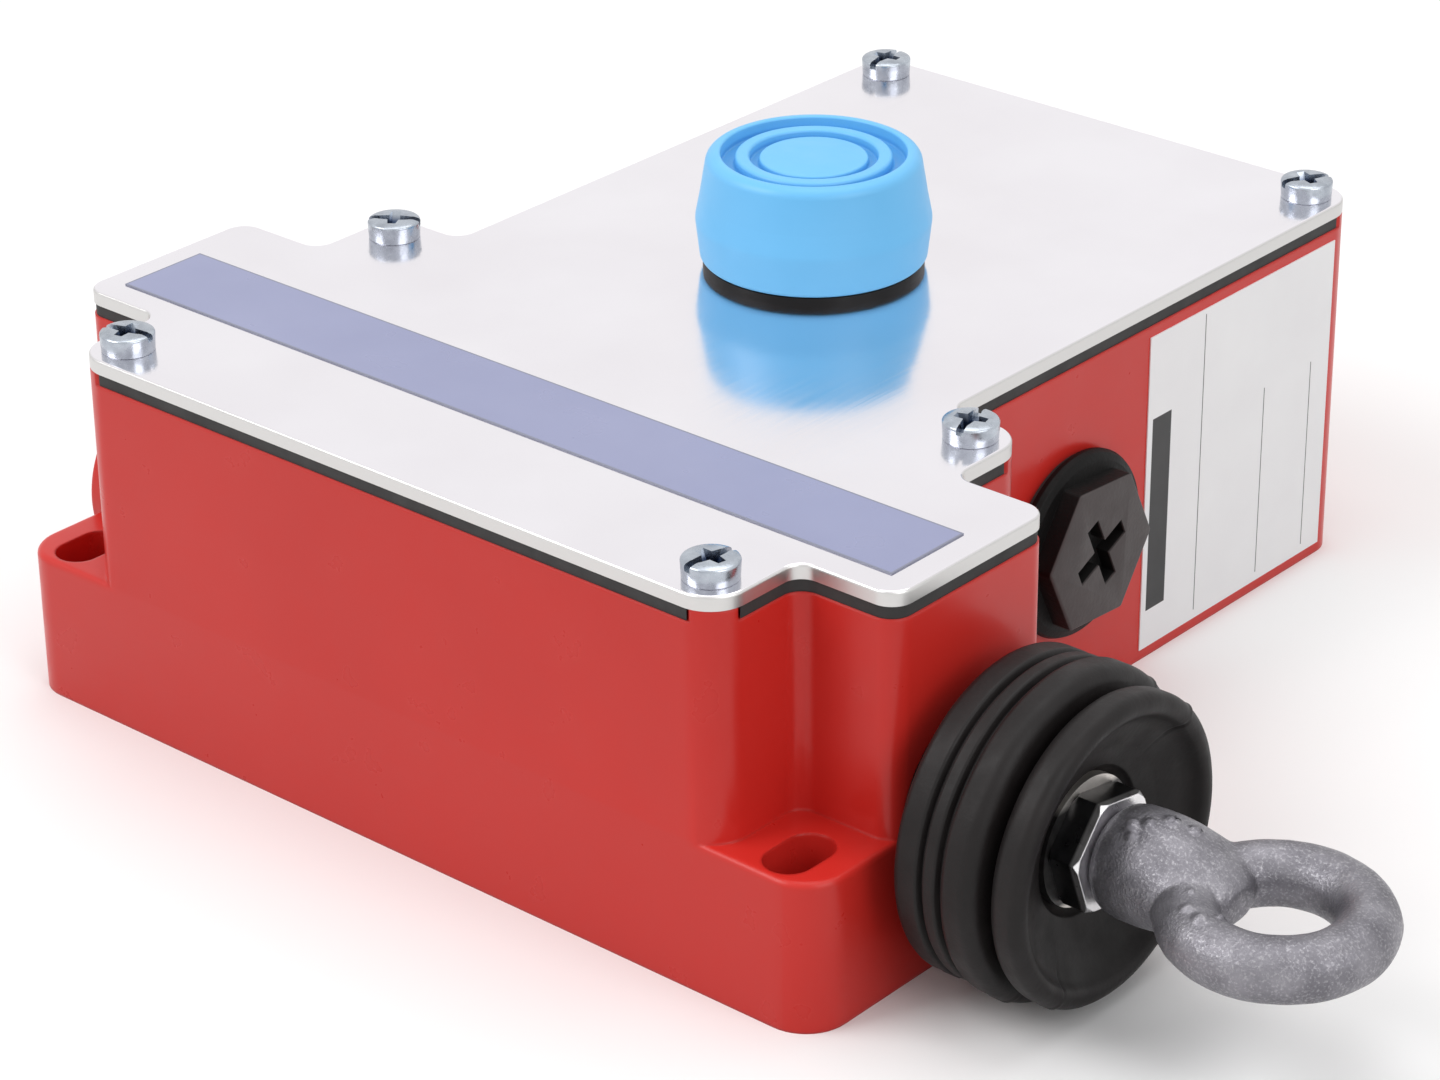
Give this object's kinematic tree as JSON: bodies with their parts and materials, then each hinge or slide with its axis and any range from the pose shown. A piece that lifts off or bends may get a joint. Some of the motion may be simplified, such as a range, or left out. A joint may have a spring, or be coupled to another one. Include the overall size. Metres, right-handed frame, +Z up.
{
  "type": "rope pull switch",
  "caption": "Cable-operated safety switch: red cast T-shaped housing with foot slots, screwed cover, blue reset button, rubber bellows and an eyebolt on a sprung shaft.",
  "frame": {"origin": "on the mounting face, midway between the four fixing slots, straight under the rope axis", "axes": "+X along the rope axis towards the eye, +Y towards the wiring compartment, +Z up out of the mounting face towards the cover"},
  "size_m": [0.235, 0.1764, 0.0819],
  "materials": {
    "red_cast_paint": "satin",
    "plate_steel": "polished",
    "black_rubber": "matte",
    "zinc_steel": "satin",
    "blue_foil": "gloss",
    "white_foil": "satin",
    "bearing_bronze": "satin",
    "ground_steel": "satin",
    "spring_steel": "satin",
    "forged_steel": "satin",
    "black_plastic": "matte",
    "grey_plastic": "matte",
    "cream_plastic": "matte",
    "brass_screws": "satin",
    "blue_rubber": "satin"
  },
  "bodies": {
    "base": {"housing": "red_cast_paint", "cover_plate": "plate_steel", "cover_gasket": "black_rubber", "cover_screws": "zinc_steel", "cover_strip": "blue_foil", "side_label": "white_foil", "end_cap": "red_cast_paint", "front_bush": "bearing_bronze", "main_spring": "spring_steel", "bellows": "black_rubber", "blanking_plug": "black_plastic", "plug_seal": "black_rubber", "contact_base": "grey_plastic", "contact_block_left": "cream_plastic", "contact_block_right": "cream_plastic", "terminal_screws": "brass_screws", "base_screws": "zinc_steel", "earth_screw": "brass_screws", "reset_bezel": "black_plastic", "reset_boot": "blue_rubber", "reset_spring": "spring_steel", "reset_nut": "black_plastic", "latch_pin": "ground_steel"},
    "rope_shaft": {"pull_shaft": "ground_steel", "cam_sleeve": "ground_steel", "cam_pin": "ground_steel", "spring_seat": "ground_steel", "seat_clip": "spring_steel", "clamp_washer": "zinc_steel", "lock_nut": "zinc_steel", "eyebolt": "forged_steel"},
    "contact_slide": {"contact_slide": "grey_plastic"},
    "reset_button": {"reset_pusher": "grey_plastic"},
    "latch_lever": {"latch_lever": "ground_steel"}
  },
  "joints": [
    {"name": "rope_pull", "type": "slide", "parent": "base", "child": "rope_shaft", "axis": [1, 0, 0], "range_m": [0, 0.014], "stiffness_N_per_m": 6000, "springref_m": -0.005, "deforming": ["bellows", "main_spring"]},
    {"name": "contact_shift", "type": "slide", "parent": "base", "child": "contact_slide", "axis": [0, 1, 0], "range_m": [0, 0.002]},
    {"name": "reset_press", "type": "slide", "parent": "base", "child": "reset_button", "axis": [0, 0, -1], "range_m": [0, 0.004], "stiffness_N_per_m": 1500, "springref_m": -0.002, "deforming": ["reset_boot", "reset_spring"]},
    {"name": "latch_turn", "type": "hinge", "parent": "base", "child": "latch_lever", "pos_m": [0, 0.038, 0.0346], "axis": [-1, 0, 0], "range_deg": [0, 9.2]}
  ],
  "couplings": [
    {"joint": "contact_shift", "follows": "rope_pull", "ratio": 0.14286},
    {"joint": "latch_turn", "follows": "reset_press", "rad_per_m": 40}
  ]
}
